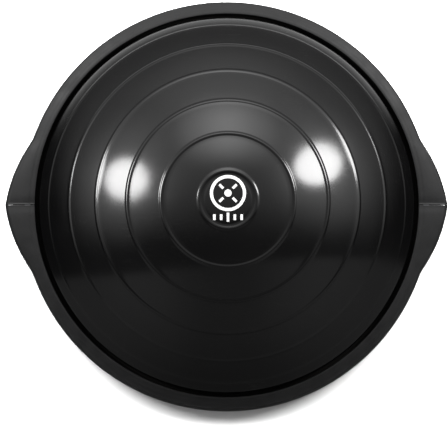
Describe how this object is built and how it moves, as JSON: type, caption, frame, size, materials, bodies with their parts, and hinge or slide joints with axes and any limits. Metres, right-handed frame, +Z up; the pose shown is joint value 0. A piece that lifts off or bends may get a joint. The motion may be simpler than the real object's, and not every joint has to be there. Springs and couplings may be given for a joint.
{
  "type": "balance dome trainer",
  "caption": "Round balance trainer: an air-filled ridged dome clamped to a flat platform by a rim with a moulded handle on each side.",
  "frame": {"origin": "centre of the footprint, at the floor under the rubber feet", "axes": "+Z up along the dome's axis, +X towards one handle, +Y a quarter turn from it"},
  "size_m": [0.702, 0.6498, 0.248],
  "materials": {
    "dome_vinyl": "glossy black vinyl",
    "bladder_vinyl": "satin black vinyl",
    "rim_plastic": "matte black moulded plastic with a fine grain",
    "deck_plastic": "matte black moulded plastic",
    "foot_rubber": "matte black rubber",
    "zinc_steel": "zinc plated",
    "plug_plastic": "pale grey soft plastic"
  },
  "bodies": {
    "platform": {"deck_frame": "deck_plastic", "deck_cover": "deck_plastic", "rear_rim_half": "rim_plastic", "front_rim_half": "rim_plastic", "left_splice_plate": "zinc_steel", "right_splice_plate": "zinc_steel", "rim_screws": "zinc_steel", "cover_screws": "zinc_steel", "splice_screws": "zinc_steel", "bladder_floor": "bladder_vinyl", "valve_socket": "foot_rubber", "rubber_foot_1": "foot_rubber", "rubber_foot_2": "foot_rubber", "rubber_foot_3": "foot_rubber", "rubber_foot_4": "foot_rubber", "rubber_foot_5": "foot_rubber", "rubber_foot_6": "foot_rubber", "rubber_foot_7": "foot_rubber", "rubber_foot_8": "foot_rubber"},
    "dome": {"dome_skin": "dome_vinyl"},
    "plug": {"valve_plug": "plug_plastic"}
  },
  "joints": [
    {"name": "dome_press", "type": "slide", "parent": "platform", "child": "dome", "axis": [0, 0, -1], "range_m": [0, 0.08], "stiffness_N_per_m": 11000, "springref_m": -0.01, "deforming": ["dome_skin"]},
    {"name": "plug_pull", "type": "slide", "parent": "platform", "child": "plug", "axis": [0, 0, -1], "range_m": [0, 0.015]}
  ]
}
